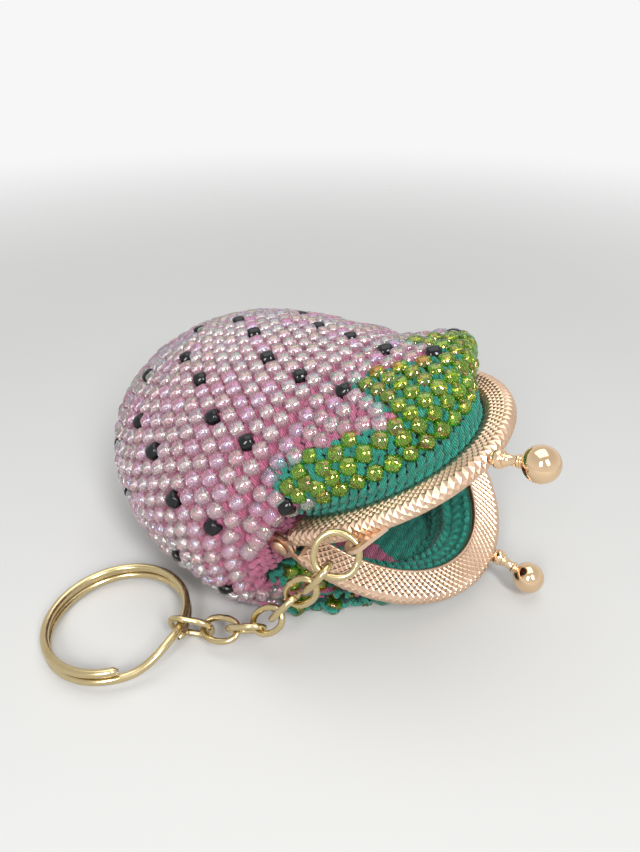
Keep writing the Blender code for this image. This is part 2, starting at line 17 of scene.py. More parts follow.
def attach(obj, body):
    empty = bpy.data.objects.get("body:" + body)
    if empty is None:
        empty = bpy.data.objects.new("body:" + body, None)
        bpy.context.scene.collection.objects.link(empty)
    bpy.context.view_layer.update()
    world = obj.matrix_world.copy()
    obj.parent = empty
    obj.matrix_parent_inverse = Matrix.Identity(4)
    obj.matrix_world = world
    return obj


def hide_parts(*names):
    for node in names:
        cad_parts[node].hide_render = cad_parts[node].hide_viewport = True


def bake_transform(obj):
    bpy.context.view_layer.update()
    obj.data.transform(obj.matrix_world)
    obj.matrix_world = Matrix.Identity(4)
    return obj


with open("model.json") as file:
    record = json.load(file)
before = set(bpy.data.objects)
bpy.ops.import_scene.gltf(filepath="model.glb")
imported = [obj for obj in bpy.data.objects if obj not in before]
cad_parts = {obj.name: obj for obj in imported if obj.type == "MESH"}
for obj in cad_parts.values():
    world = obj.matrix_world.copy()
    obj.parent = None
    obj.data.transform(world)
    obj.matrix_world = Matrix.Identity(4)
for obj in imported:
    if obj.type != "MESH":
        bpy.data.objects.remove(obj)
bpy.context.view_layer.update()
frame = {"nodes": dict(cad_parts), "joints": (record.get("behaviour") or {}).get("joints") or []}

nodes = frame["nodes"]
scene = bpy.context.scene
print("CAD nodes:", len(nodes))

# %% [markdown]
# ## Camera
# The photograph looks down at the purse from its mouth's near side. Its place was worked out from the
# frame's two arches, the balls and the ring, so it is written here as plain numbers: a place, an angle and
# a lens.

# %% Camera
camera_data = bpy.data.cameras.new("camera")
camera_data.lens = 28.33
camera_data.clip_start = 0.01
camera = bpy.data.objects.new("camera", camera_data)
scene.collection.objects.link(camera)
camera.location = (0.0837, -0.1032, 0.1095)
camera.rotation_euler = (pi / 2 - radians(32.0), 0, radians(35.7))
scene.camera = camera

# %% [markdown]
# ## Light
# Glass and polished metal show what is around them, so the lamps matter as much as the materials. Two tall
# soft panels stand in for a pair of windows: each bead and ball shows them as two bright marks. A large dim
# panel overhead fills the shadows, and the world is a plain room: pale walls, and a dimmer ceiling so that
# the rims of the beads don't all turn white.

# %% Lamps
PURSE_MIDDLE = Vector((0.01, 0, 0.02))


def add_panel(name, place, width, height, watts):
    """A soft rectangular lamp that faces the purse."""
    data = bpy.data.lights.new(name, "AREA")
    data.shape = "RECTANGLE"
    data.size = width
    data.size_y = height
    data.energy = watts
    lamp = bpy.data.objects.new(name, data)
    scene.collection.objects.link(lamp)
    lamp.location = place
    lamp.rotation_euler = (PURSE_MIDDLE - Vector(place)).to_track_quat("-Z", "Y").to_euler()


add_panel("window_right", (0.42, -0.22, 0.42), 0.12, 0.28, 2.7)
add_panel("window_left", (0.16, -0.52, 0.40), 0.12, 0.28, 2.1)
add_panel("ceiling", (-0.10, 0.10, 0.75), 0.7, 0.7, 2.6)


# %% Helpers for nodes
def set_numbers(node, **numbers):
    """Writes numbers on a node's sockets; an underscore stands for the space in a socket's name."""
    for label, number in numbers.items():
        node.inputs[label.replace("_", " ")].default_value = number


def add_node(tree, kind, operation=None, **numbers):
    node = tree.nodes.new(f"ShaderNode{kind}")
    if operation:
        node.operation = operation
    set_numbers(node, **numbers)
    return node


def join(source, output, target, socket):
    source.id_data.links.new(source.outputs[output], target.inputs[socket])


# %% Room
scene.view_settings.view_transform = "Standard"
world = bpy.data.worlds.new("pale_room")
scene.world = world
world.use_nodes = True
room = world.node_tree
background = room.nodes["Background"]
set_numbers(background, Color=(1, 1, 1, 1))
seen = add_node(room, "LightPath")
direct = add_node(room, "Math", "MAXIMUM")
shown = add_node(room, "Math", "MAXIMUM")
join(seen, "Is Camera Ray", direct, 0)
join(seen, "Is Glossy Ray", direct, 1)
join(direct, 0, shown, 0)
join(seen, "Is Transmission Ray", shown, 1)

# %% Pale walls and a dimmer ceiling
direction = add_node(room, "TexCoord")
height = add_node(room, "SeparateXYZ")
overhead = add_node(room, "MapRange", From_Min=0.10, From_Max=0.65, To_Min=0.93, To_Max=0.75)
level = add_node(room, "MapRange", To_Min=0.30)
join(direction, "Generated", height, "Vector")
join(height, "Z", overhead, "Value")
join(shown, 0, level, "Value")
join(overhead, "Result", level, "To Max")
join(level, "Result", background, "Strength")

# %% [markdown]
# ## Effects that several finishes share
# Nothing on a hand-made purse is one flat colour. *Mottle* drifts between two colours. *Yarn lay* makes the
# fine slanted fibres of a plied cotton. *Handling* dulls a metal unevenly where fingers touch it. Each is
# one node group, so every finish that needs it only sets its own values.

# %% Node groups
NUMBER, COLOUR = "NodeSocketFloat", "NodeSocketColor"
MIX_FIRST, MIX_SECOND, MIX_RESULT = 6, 7, 2  # a Mix node's sockets for colours


def new_group(name, inputs, output, output_kind):
    group = bpy.data.node_groups.new(name, "ShaderNodeTree")
    for label, kind, value in inputs:
        socket = group.interface.new_socket(label, in_out="INPUT", socket_type=kind)
        socket.default_value = value
    group.interface.new_socket(output, in_out="OUTPUT", socket_type=output_kind)
    return group, group.nodes.new("NodeGroupInput"), group.nodes.new("NodeGroupOutput")


def colour_mix(tree):
    mix = add_node(tree, "Mix")
    mix.data_type = "RGBA"
    return mix


def spread_noise(group, source, detail, **numbers):
    """Noise over an object's own place, at the group's scale, with its range spread."""
    place = add_node(group, "TexCoord")
    noise = add_node(group, "TexNoise", Detail=detail)
    spread = add_node(group, "MapRange", **numbers)
    join(place, "Object", noise, "Vector")
    join(source, "Scale", noise, "Scale")
    join(noise, "Fac", spread, "Value")
    return spread


def mottle_group():
    inputs = [("First", COLOUR, (1, 1, 1, 1)), ("Second", COLOUR, (0, 0, 0, 1)), ("Scale", NUMBER, 200.0)]
    group, source, sink = new_group("mottle", inputs, "Color", COLOUR)
    spread = spread_noise(group, source, 3.0, From_Min=0.32, From_Max=0.68)
    mix = colour_mix(group)
    join(spread, "Result", mix, "Factor")
    join(source, "First", mix, MIX_FIRST)
    join(source, "Second", mix, MIX_SECOND)
    join(mix, MIX_RESULT, sink, "Color")
    return group


def yarn_lay_group():
    group, source, sink = new_group("yarn_lay", [("Scale", NUMBER, 2600.0)], "Height", NUMBER)
    place = add_node(group, "TexCoord")
    waves = add_node(group, "TexWave", Distortion=5.0, Detail=3.0)
    waves.bands_direction = "DIAGONAL"
    join(place, "Object", waves, "Vector")
    join(source, "Scale", waves, "Scale")
    join(waves, "Fac", sink, "Height")
    return group


def handling_group():
    inputs = [("Bright", NUMBER, 0.2), ("Dull", NUMBER, 0.4), ("Scale", NUMBER, 300.0)]
    group, source, sink = new_group("handling", inputs, "Roughness", NUMBER)
    spread = spread_noise(group, source, 6.0)
    join(source, "Bright", spread, "To Min")
    join(source, "Dull", spread, "To Max")
    join(spread, "Result", sink, "Roughness")
    return group


mottle = mottle_group()
yarn_lay = yarn_lay_group()
handling = handling_group()
print("node groups:", [group.name for group in bpy.data.node_groups])

# %% [markdown]
# ## Finishes
# The pink and green beads are clear glass, so they are real glass here: the yarn behind them gives most of
# their colour, and a thin film gives the rainbow of their coating. The black seeds are opaque. The frame is
# rose-gold plate, the balls are polished and the chain is a paler brass.


# %% Helpers for finishes
def new_finish(name):
    finish = bpy.data.materials.new(name)
    finish.use_nodes = True
    return finish, finish.node_tree, finish.node_tree.nodes["Principled BSDF"]


def place_group(tree, group, **numbers):
    node = tree.nodes.new("ShaderNodeGroup")
    node.node_tree = group
    set_numbers(node, **numbers)
    return node


def mottled(tree, target, socket, first, second, scale):
    colour = place_group(tree, mottle, First=(*first, 1), Second=(*second, 1), Scale=scale)
    join(colour, "Color", target, socket)


# %% Glass, yarn and metal
def glass_finish(name, film, clear):
    """Clear glass with a thin film; each bead brings its own tint."""
    finish, tree, shader = new_finish(name)
    tint = tree.nodes.new("ShaderNodeAttribute")
    tint.attribute_name = "tint"
    join(tint, "Color", shader, "Base Color")
    set_numbers(shader, Roughness=0.03, IOR=1.5, Transmission_Weight=clear, Thin_Film_Thickness=film,
                Thin_Film_IOR=1.75)
    return finish


def yarn_finish(name, first, second):
    """Mottled yarn with painted shade in the grooves between its plies, which the bump follows."""
    finish, tree, shader = new_finish(name)
    lay = place_group(tree, yarn_lay, Scale=1000.0)
    ply = colour_mix(tree)
    # Painted shade: where the lay is low, between the plies, the colour falls to 0.45 of the first colour.
    ply.inputs[MIX_FIRST].default_value = (*(0.45 * part for part in first), 1)
    mottled(tree, ply, MIX_SECOND, first, second, 420.0)
    join(lay, "Height", ply, "Factor")
    join(ply, MIX_RESULT, shader, "Base Color")
    bump = add_node(tree, "Bump", Strength=0.75, Distance=0.0002)
    join(lay, "Height", bump, "Height")
    join(bump, "Normal", shader, "Normal")
    set_numbers(shader, Roughness=0.72, Sheen_Weight=0.25, Sheen_Roughness=0.4)
    return finish


def metal_finish(name, first, second, bright, dull):
    finish, tree, shader = new_finish(name)
    mottled(tree, shader, "Base Color", first, second, 160.0)
    wear = place_group(tree, handling, Bright=bright, Dull=dull, Scale=350.0)
    join(wear, "Roughness", shader, "Roughness")
    set_numbers(shader, Metallic=1.0)
    return finish


# %% The finishes
pink_glass = [glass_finish(f"pink_glass_{film}", film, 0.86) for film in (230, 330, 430, 560)]
green_glass = [glass_finish(f"green_glass_{film}", film, 0.98) for film in (262, 285)]
black_glass, black_tree, black_shader = new_finish("black_glass")
mottled(black_tree, black_shader, "Base Color", (0.003, 0.003, 0.004), (0.008, 0.009, 0.010), 500.0)
set_numbers(black_shader, Roughness=0.07, Specular_IOR_Level=0.35)
pink_yarn = yarn_finish("pink_yarn", (0.50, 0.12, 0.23), (0.66, 0.22, 0.35))
teal_yarn = yarn_finish("teal_yarn", (0.004, 0.22, 0.155), (0.020, 0.40, 0.30))
# Painted shade: darker copies of the yarns, for the cloth's outside deep between the beads.
painted_shade_pink_yarn = yarn_finish("painted_shade_pink_yarn", (0.42, 0.09, 0.175), (0.54, 0.16, 0.27))
painted_shade_teal_yarn = yarn_finish("painted_shade_teal_yarn", (0.002, 0.06, 0.042), (0.006, 0.11, 0.08))
rose_gold = metal_finish("rose_gold", (0.66, 0.455, 0.315), (0.74, 0.53, 0.39), 0.26, 0.42)
polished_gold = metal_finish("polished_gold", (0.76, 0.54, 0.33), (0.82, 0.61, 0.40), 0.05, 0.14)
pale_brass = metal_finish("pale_brass", (0.54, 0.43, 0.22), (0.60, 0.49, 0.28), 0.14, 0.26)
paper = yarn_finish("paper_cord", (0.55, 0.45, 0.32), (0.66, 0.56, 0.42))
print("finishes:", [finish.name for finish in bpy.data.materials])

# %% [markdown]
# ## Mesh helpers
# Most pieces here are one of three things: a skin over rows of points, a tube along a path, or one small
# shape stamped many times, as beads and stitches are. Stamping all copies into one mesh keeps the scene
# light: a thousand beads are one object, not a thousand.

# %% Skins, tubes and stamps
PINK_SLOT, TEAL_SLOT = "pink_beads", "green_beads_on_teal"
TABLE = 0.0001  # the lowest that a bead or stitch may lie
pieces = {}


def add_piece(name, mesh, finish, slot):
    """Keeps a mesh as a piece under its name; a mesh that is painted already comes without a finish."""
    mesh.name = name
    piece = bpy.data.objects.new(name, mesh)
    scene.collection.objects.link(piece)
    if finish:
        mesh.materials.append(finish)
    pieces[name] = piece


def mesh_from(points, faces, smooth=True):
    mesh = bpy.data.meshes.new("new_piece")
    mesh.from_pydata(points, [], faces)
    mesh.update()
    if smooth:
        mesh.shade_smooth()
    return mesh


def skin(rows, closed_rows=False, closed_ends=False):
    """Points and faces of a sheet through rows of points."""
    count = len(rows[0])
    points = [point for row in rows for point in row]
    faces = []
    for i in range(len(rows) if closed_ends else len(rows) - 1):
        below, above = i * count, (i + 1) % len(rows) * count
        for j in range(count if closed_rows else count - 1):
            k = (j + 1) % count
            faces.append((below + j, below + k, above + k, above + j))
    return points, faces


def turned(profile, sides):
    """Points and faces of a shape turned about X, from (distance along X, radius) pairs."""
    turn = [2 * pi * i / sides for i in range(sides)]
    rows = [[(x, r * cos(a), r * sin(a)) for a in turn] for x, r in profile]
    return skin(rows, closed_rows=True)


def tube_rows(path, radii, sides, closed):
    """Rings of points round a path; the frame is carried along it without twisting."""
    before = [path[-1] if closed else path[0], *path[:-1]]
    after = [*path[1:], path[0] if closed else path[-1]]
    tangents = [(end - start).normalized() for start, end in zip(before, after)]
    side = tangents[0].orthogonal().normalized()
    turn = [2 * pi * i / sides for i in range(sides)]
    rows = []
    for point, tangent, radius in zip(path, tangents, radii):
        side = (side - tangent * side.dot(tangent)).normalized()
        up = tangent.cross(side)
        rows.append([point + (side * cos(a) + up * sin(a)) * radius for a in turn])
    return rows


def stamped(template, places, tints=None):
    """One mesh of a template's copies, one at each 4x4 place, with its colour; the table flattens it."""
    points, faces = np.array(template[0], float), np.array(template[1])
    stack = np.array([[list(row) for row in place] for place in places])
    copies = np.einsum("nij,pj->npi", stack[:, :3, :3], points) + stack[:, None, :3, 3]
    copies[..., 2] = np.maximum(copies[..., 2], TABLE)
    index = faces[None] + len(points) * np.arange(len(places))[:, None, None]
    mesh = mesh_from(copies.reshape(-1, 3).tolist(), index.reshape(-1, faces.shape[1]).tolist())
    if tints:
        layer = mesh.color_attributes.new("tint", "FLOAT_COLOR", "POINT")
        colours = np.repeat(np.array([(*tint, 1.0) for tint in tints]), len(points), axis=0)
        layer.data.foreach_set("color", colours.ravel())
    return mesh


# %% Lengths along a row
def reach_along(points):
    """Distance of each point from the first, measured along them."""
    reach = [0.0]
    for before, after in zip(points, points[1:]):
        reach.append(reach[-1] + (after - before).length)
    return reach


def evenly(values, reach, pitch, shift):
    """Values a pitch apart along a reach, as nearly as whole steps allow."""
    count = max(round(reach[-1] / pitch), 1)
    return [float(np.interp((i + shift) / count * reach[-1], reach, values)) for i in range(count)]


def even_row(place, start, end, pitch, shift):
    """Places along a row, a pitch apart along the fabric."""
    steps = 240
    values = [start + (end - start) * i / steps for i in range(steps + 1)]
    return evenly(values, reach_along([place(u) for u in values]), pitch, shift)


# %% [markdown]
# ## The shape the fabric follows
# The bag is a plump egg behind the hinge, and two flaps run from its mouth to the frame. Their shape is
# written as formulas, the same ones that the CAD model uses, because beads need more than a surface: they
# need to know which way their round runs. A subdivision cage would look alike, but it has no rounds to
# count along.

# %% The bag behind the hinge
HINGE = Vector((0.0200, 0, 0.0268))
FRAME_ROLL = radians(13.0)
POUCH_HALF, POUCH_ABOVE, POUCH_BELOW, POUCH_TAIL = 0.0390, 0.0260, 0.0250, 0.0525
BELLY_BEHIND, MOUTH_BEHIND, MOUTH_HALF = 0.0160, 0.0042, 0.03475
BELLY_HEIGHT, TIP_HEIGHT, MOUTH_HEIGHT = 0.0225, 0.0210, 0.0238
BELLY_ROLL, TAIL_DRIFT, SEAM_OVERLAP = radians(8.0), 0.0085, 0.00035
TAIL_POWER, SIDE_POWER, TOP_POWER, BOTTOM_POWER, MOUTH_POWER = 2.3, 2.2, 2.1, 2.2, 4.0


def power_of(value, power):
    return copysign(abs(value) ** power, value)


def bag_spot(around, behind):
    """A point on the outside of the bag; around is 0 at the near side and runs over the top."""
    tail = (behind - BELLY_BEHIND) / POUCH_TAIL
    full = (1 - min(abs(tail), 1) ** TAIL_POWER) ** (1 / SIDE_POWER)
    height = BELLY_HEIGHT + (TIP_HEIGHT - BELLY_HEIGHT) * tail
    half, bottom, roll = POUCH_HALF, BOTTOM_POWER, BELLY_ROLL
    if tail < 0:
        forward = (BELLY_BEHIND - behind) / (BELLY_BEHIND - MOUTH_BEHIND)
        height = BELLY_HEIGHT + (MOUTH_HEIGHT - BELLY_HEIGHT) * forward
        half += (MOUTH_HALF - POUCH_HALF) * forward**2
        bottom += (MOUTH_POWER - bottom) * forward
        roll += (FRAME_ROLL - roll) * forward
    over = sin(around) > 0
    power = 2 / (TOP_POWER if over else bottom)
    wide = -power_of(cos(around), power) * full * half
    tall = power_of(sin(around), power) * full * (POUCH_ABOVE if over else POUCH_BELOW)
    y = wide * cos(roll) - tall * sin(roll) + TAIL_DRIFT * max(tail, 0) ** 1.5
    z = height + wide * sin(roll) + tall * cos(roll)
    return Vector((HINGE.x - behind, y, max(z, 0)))


# %% The two channels of the frame
FRAME_RISE, HALF_WIDTH, EYE_STEP = 0.0368, 0.0287, 0.00085
SHEET, JAW, CONTACT = 0.00055, 0.0032, 0.00015
INNER_WALL, OUTER_WALL = 0.0060, 0.0050
CHANNEL_START, FLAP_START = asin(0.0044 / FRAME_RISE), asin(0.0048 / FRAME_RISE)


def channel_axes(angle, outward_up):
    hinge = Matrix.Translation(HINGE) @ Matrix.Rotation(FRAME_ROLL, 4, "X")
    axes = hinge @ Matrix.Rotation(-angle, 4, "Y")
    return axes if outward_up else axes @ Matrix.Rotation(pi, 4, "X")


def arch(half_width, angle, inward, outward):
    """A point of the channel's half ellipse, moved into the arch and out of its plane."""
    normal = Vector((sin(angle) / FRAME_RISE, -cos(angle) / half_width, 0)).normalized()
    rim = Vector((FRAME_RISE * sin(angle), -half_width * cos(angle), 0))
    return rim - normal * inward + Vector((0, 0, outward))


channels = {
    "front": (HALF_WIDTH, channel_axes(radians(26.4), True)),
    "back": (HALF_WIDTH - EYE_STEP, channel_axes(radians(-31.8), False)),
}


# %% The two flaps
def smooth_path(points, steps):
    ends = [2 * points[0] - points[1], *points, 2 * points[-1] - points[-2]]
    path = []
    for before, start, end, after in zip(ends, ends[1:], ends[2:], ends[3:]):
        span = (end - start).length
        leave = (end - before) * span / (span + (start - before).length)
        arrive = (after - start) * span / ((after - end).length + span)
        for i in range(steps):
            t = i / steps
            ease = t * t * (3 - 2 * t)
            straight = start * (1 - ease) + end * ease
            path.append(straight + leave * t * (1 - t) ** 2 + arrive * t * t * (t - 1))
    return [*path, points[-1]]


FLAP_STEPS, FLAP_COLUMNS = 12, 160
FLAP_RISE, TUCK, EDGE = 0.0030, 0.0028, 0.002275


def flap_path(half_width, axes, angle, around, bulge):
    """The outside of a flap at one place along the arch: from its edge in the channel to the bag."""
    fullness = sin(angle) ** 0.9
    rise = FLAP_RISE * (0.5 + 0.5 * fullness)
    clear = OUTER_WALL + SHEET
    tucked = axes @ arch(half_width, angle, TUCK, EDGE)
    mouth = axes @ arch(half_width, angle, clear, EDGE)
    raised = axes @ arch(half_width, angle, clear, EDGE + rise)
    seam = bag_spot(around, MOUTH_BEHIND - SEAM_OVERLAP)
    beyond = bag_spot(around, BELLY_BEHIND)
    outward = arch(half_width, angle, -0.0040, 0) - arch(half_width, angle, 0, 0) + Vector(bulge)
    lift = outward * fullness + Vector((0, 0, 0.0012))
    swell = raised.lerp(seam, 0.4) + axes.to_3x3() @ lift
    path = smooth_path([tucked, mouth, raised, swell, seam, beyond], FLAP_STEPS)[:-FLAP_STEPS]
    return [Vector((p.x, p.y, max(p.z, 0))) for p in path]


def flap_paths(half_width, axes, over, bulge):
    """Paths across a whole flap, each with the distance of its points from the channel's edge."""
    side = radians(2.0)
    paths = []
    for i in range(FLAP_COLUMNS + 1):
        share = i / FLAP_COLUMNS
        angle = FLAP_START + (pi - 2 * FLAP_START) * share
        around = side + (pi - 2 * side) * share
        path = flap_path(half_width, axes, angle, around if over else around - pi, bulge)
        reach = reach_along(path)
        paths.append((path, [distance - reach[FLAP_STEPS] for distance in reach]))
    return paths


front_paths = flap_paths(*channels["front"], True, (0.0035, 0.0060, 0.0018))
back_paths = flap_paths(*channels["back"], False, (0.0020, 0.0055, 0.0120))
print("longest flap path, mm:", round(max(reach[-1] for _, reach in front_paths) * 1000, 1))


# %% Places on the fabric
def along_path(path, reach, distance):
    for i in range(len(path) - 1):
        if reach[i + 1] >= distance or i == len(path) - 2:
            share = (distance - reach[i]) / max(reach[i + 1] - reach[i], 1e-9)
            return path[i].lerp(path[i + 1], min(max(share, 0), 1))


def flap_spot(paths):
    def spot(share, distance):
        column = min(max(share, 0), 1) * FLAP_COLUMNS
        low = min(int(column), FLAP_COLUMNS - 1)
        ends = [along_path(*paths[k], distance) for k in (low, low + 1)]
        return ends[0].lerp(ends[1], column - low)

    return spot


def flap_length(paths, share):
    return paths[round(min(max(share, 0), 1) * FLAP_COLUMNS)][1][-1]


front_spot = flap_spot(front_paths)
back_spot = flap_spot(back_paths)


def lie(spot, u, v, step_u, step_v=0.0004):
    """Point, normal and direction of the row at one place on the fabric."""
    point = spot(u, v)
    row = spot(u + step_u, v) - spot(u - step_u, v)
    rise = spot(u, v + step_v) - spot(u, v - step_v)
    return point, row.cross(rise).normalized(), row.normalized()


def bag_lie(around, behind):
    return lie(bag_spot, around, behind, 0.01)


def front_lie(share, distance):
    return lie(front_spot, share, distance, 0.004)


def back_lie(share, distance):
    """As for the front, but where the flap lies on the table its outside faces straight down."""
    point, normal, row = lie(back_spot, share, distance, 0.004)
    return point, Vector((0, 0, -1)) if point.z < 0.0004 else normal, row


flaps = {"front": (front_paths, front_spot, front_lie), "back": (back_paths, back_spot, back_lie)}

# %% [markdown]
# ## Where the beads go
# The bag is worked in rounds from the tip, and each round is set half a bead on from the last. On the flaps
# the rows run along the frame, and the green leaves point back over the pink. A place too near a bead that
# is already there is skipped, which is what the maker does too when the rounds meet.

# %% Rounds on the bag
BEAD_RADIUS, BEAD_LENGTH = 0.00186, 0.0030
ROUND_PITCH, BEAD_PITCH = 0.00365, 0.00379
BAG_GAP, FLAP_GAP = 0.0030, 0.0029  # the least distance between two beads
BEAD_LEAN = -radians(41)
maker = random.Random(7)
placed = []


def takes(point, least):
    """Whether a bead fits at a point; if it does, the place is taken."""
    gaps = np.array(placed).reshape(-1, 3) - np.array(point)
    free = bool(((gaps * gaps).sum(1) > least * least).all())
    if free:
        placed.append(tuple(point))
    return free


def bead_place(point, normal, row):
    """A bead with its hole along X, leaning between the row and the way to the mouth."""
    turn = BEAD_LEAN + maker.uniform(-0.14, 0.14)
    axis = Matrix.Rotation(turn, 3, normal) @ row
    axis = (axis + normal * maker.uniform(-0.10, 0.10)).normalized()
    side = normal.cross(axis).normalized()
    centre = point - normal * (BEAD_RADIUS + maker.uniform(-0.00012, 0.00020))
    size = maker.uniform(0.94, 1.03)
    place = (Matrix((axis, side, axis.cross(side))).transposed() * size).to_4x4()
    place.translation = centre
    return place


def bag_rounds():
    """How far behind the hinge each round is worked, even along the bag's top from its tip to its mouth."""
    low, high = radians(4.0), acos((MOUTH_BEHIND + SEAM_OVERLAP - BELLY_BEHIND) / POUCH_TAIL)
    values = [BELLY_BEHIND + POUCH_TAIL * cos(low + (high - low) * i / 144) for i in range(145)]
    points = [bag_spot(pi / 2, value) for value in values]
    rounds = evenly(values, reach_along(points), ROUND_PITCH, 0.5)
    return rounds + [BELLY_BEHIND + POUCH_TAIL - 0.0003]


beads = {"bag": {"pink": [], "black": []}}
for number, behind in enumerate(bag_rounds()):
    shift = 0.5 * number + 0.12 * maker.random()
    around_row = even_row(lambda around: bag_spot(around, behind), 0, 2 * pi, BEAD_PITCH, shift % 1)
    for index, around in enumerate(around_row):
        point, normal, row = bag_lie(around, behind)
        if not takes(point, BAG_GAP):
            continue
        seed = number % 3 == 1 and (index + 2 * number) % 5 == 0
        beads["bag"]["black" if seed else "pink"].append(bead_place(point, normal, row))
print("bag beads:", {kind: len(places) for kind, places in beads["bag"].items()})

# %% Leaves on the flaps
BARE, FLAP_ROWS = 0.0044, 9
FRONT_LEAVES = ((0, 0.002), (0.09, 0.006), (0.19, 0.020), (0.26, 0.031), (0.30, 0.0235), (0.35, 0.0115),
                (0.42, 0.023), (0.484, 0.034), (0.555, 0.0175), (0.655, 0.034), (0.755, 0.012),
                (0.84, 0.024), (0.93, 0.006), (1.0, 0.002))
BACK_LEAVES = ((0, 0.008), (0.10, 0.018), (0.20, 0.028), (0.30, 0.014), (0.40, 0.024), (0.50, 0.034),
               (0.60, 0.022), (0.68, 0.016), (0.80, 0.030), (0.92, 0.020), (1.0, 0.009))


def leaf_edge(paths, share):
    """How far the green of a flap reaches back from the channel."""
    leaves = FRONT_LEAVES if paths is front_paths else BACK_LEAVES
    return float(np.interp(share, [s for s, _ in leaves], [d for _, d in leaves]))


def row_distance(paths, share, number):
    """Distance of a row from the channel: the rows share the cloth past the bare edge."""
    return BARE + (flap_length(paths, share) - BARE) * (number + 0.5) / FLAP_ROWS


def flap_beads(paths, spot, lie_at):
    """Places of the green, pink and black beads of one flap: every second row first, then the gaps left."""
    found = {"green": [], "pink": [], "black": []}
    passes = [(number, BEAD_PITCH) for number in [*range(0, FLAP_ROWS, 2), *range(1, FLAP_ROWS, 2)]]
    passes += [(number / 2, BEAD_PITCH / 3) for number in range(2 * FLAP_ROWS - 1)]
    for number, pitch in passes:
        def place(share):
            return spot(share, row_distance(paths, share, number))

        for index, share in enumerate(even_row(place, 0.02, 0.98, pitch, 0.5 * (number % 2) + 0.2)):
            distance = row_distance(paths, share, number)
            point, normal, _ = lie_at(share, distance)
            if not takes(point, FLAP_GAP):
                continue
            row = (place(share + 0.004) - place(share - 0.004)).normalized()
            seed = pitch == BEAD_PITCH and number % 3 == 1 and index % 4 == 2
            kind = "green" if distance < leaf_edge(paths, share) else "black" if seed else "pink"
            found[kind].append(bead_place(point, normal, row))
    return found


for side, flap in flaps.items():
    beads[side] = flap_beads(*flap)
    print(side, "beads:", {kind: len(places) for kind, places in beads[side].items()})


# %% Gussets beside the hinge
def flap_side(side, share, left):
    """A point on the side edge of a flap, at a share of its length."""
    paths, spot, _ = flaps[side]
    return spot(share, flap_length(paths, share) * left)


def gusset_spot(first, second):
    """Cloth between the flaps' edges: across runs from one to the other, along from the bag to the hinge."""

    def spot(across, along):
        left = 1 - min(max(along, 0), 1)
        return flap_side(first, 0, left).lerp(flap_side(second, 1, left), across)

    return spot


gussets = {"near_gusset": gusset_spot("front", "back"), "far_gusset": gusset_spot("back", "front")}

# %% [markdown]
# ## The beads
# A seed bead is cut from a drawn glass tube and tumbled, so it is a short barrel with soft ends and a round
# hole. Turning a profile gives exactly that. No two are alike: each gets its own slight lean, size and tint.


# %% A bead and its many copies
def bead_template(sides=12):
    hole = 0.00055
    profile = []
    for i in range(9):
        t = radians(-90 + 180 * i / 8)
        x = BEAD_LENGTH / 2 * power_of(sin(t), 0.8)
        profile.append((x, hole + (BEAD_RADIUS - hole) * abs(cos(t)) ** 0.36))
    points, faces = turned(profile, sides)
    last = len(points) - sides
    faces += [(last + j, last + (j + 1) % sides, (j + 1) % sides, j) for j in range(sides)]
    return points, faces


bead = bead_template()


def tint_between(first, second):
    share = maker.random()
    return tuple(a + (b - a) * share for a, b in zip(first, second))


def add_beads(name, places, finishes, slot, first, second):
    """All beads of one kind as one mesh; each bead takes one of the finishes."""
    tints = [tint_between(first, second) for _ in places]
    mesh = stamped(bead, places, tints)
    add_piece(name, mesh, finishes[0], slot)
    for finish in finishes[1:]:
        mesh.materials.append(finish)
    chosen = [maker.randrange(len(finishes)) for _ in places]
    mesh.polygons.foreach_set("material_index", np.repeat(chosen, len(bead[1])))


BEAD_KINDS = {
    "green": (green_glass, TEAL_SLOT, (0.74, 0.88, 0.02), (0.92, 1.0, 0.10)),
    "pink": (pink_glass, PINK_SLOT, (0.95, 0.78, 0.83), (1.0, 0.94, 0.96)),
    "black": ([black_glass], PINK_SLOT, (0.01, 0.01, 0.01), (0.02, 0.02, 0.02)),
}
for side, kinds in beads.items():
    for kind, places in kinds.items():
        add_beads(f"{side}_{kind}_beads", places, *BEAD_KINDS[kind])
print("faces in the bag's pink beads:", len(pieces["bag_pink_beads"].data.polygons))

# %% [markdown]
# ## Yarn through and between the beads
# Each bead hangs on its own stitch: the yarn runs through its hole and dips into the fabric at both ends. A
# short bent strand in every bead shows that. Between the beads lie the stitches themselves, plump plied
# lumps of yarn. More of them cover the inside of the back flap and the cloth beside the hinge.


# %% Strands and stitches
def strand_template(points, radius, sides, lobes=0.0, twists=1.0, steps=2):
    """A plied strand: its section has three lobes that twist along it."""
    path = smooth_path([Vector(p) for p in points], steps)
    ends = len(path) - 1
    rows = tube_rows(path, [1.0] * len(path), sides, False)
    shaped = []
    for i, (centre, ring) in enumerate(zip(path, rows)):
        taper = sin(pi * (0.08 + 0.84 * i / ends)) ** 0.5
        twist = 2 * pi * twists * i / ends
        plies = [1 + lobes * cos(3 * (2 * pi * j / sides) - twist) for j in range(sides)]
        shaped.append([centre + (point - centre) * radius * taper * ply for point, ply in zip(ring, plies)])
    return skin(shaped, closed_rows=True)


half = BEAD_LENGTH / 2
through_bead = strand_template(
    [(-half - 0.0007, 0, -0.0013), (-half - 0.0002, 0, -0.0002), (0, 0, 0), (half + 0.0002, 0, -0.0002),
     (half + 0.0007, 0, -0.0013)], 0.00052, 8
)
between_beads = strand_template(
    [(half + 0.0001, -0.0022, -0.0012), (half + 0.0003, 0, -0.00035), (half + 0.0001, 0.0022, -0.0012)],
    0.00062, 8, 0.12,
)


def plump_stitch(reach, bend, dip, radius, twists, steps):
    """A three-ply stitch that dips into the cloth at both ends."""
    points = [(-reach, 0, -dip), (-bend, 0, 0), (bend, 0, 0), (reach, 0, -dip)]
    return strand_template(points, radius, 18, 0.24, twists, steps)


stitch = plump_stitch(0.0011, 0.0005, 0.0010, 0.00066, 1.4, 3)
rope = plump_stitch(0.0014, 0.0006, 0.0012, 0.00078, 1.8, 4)


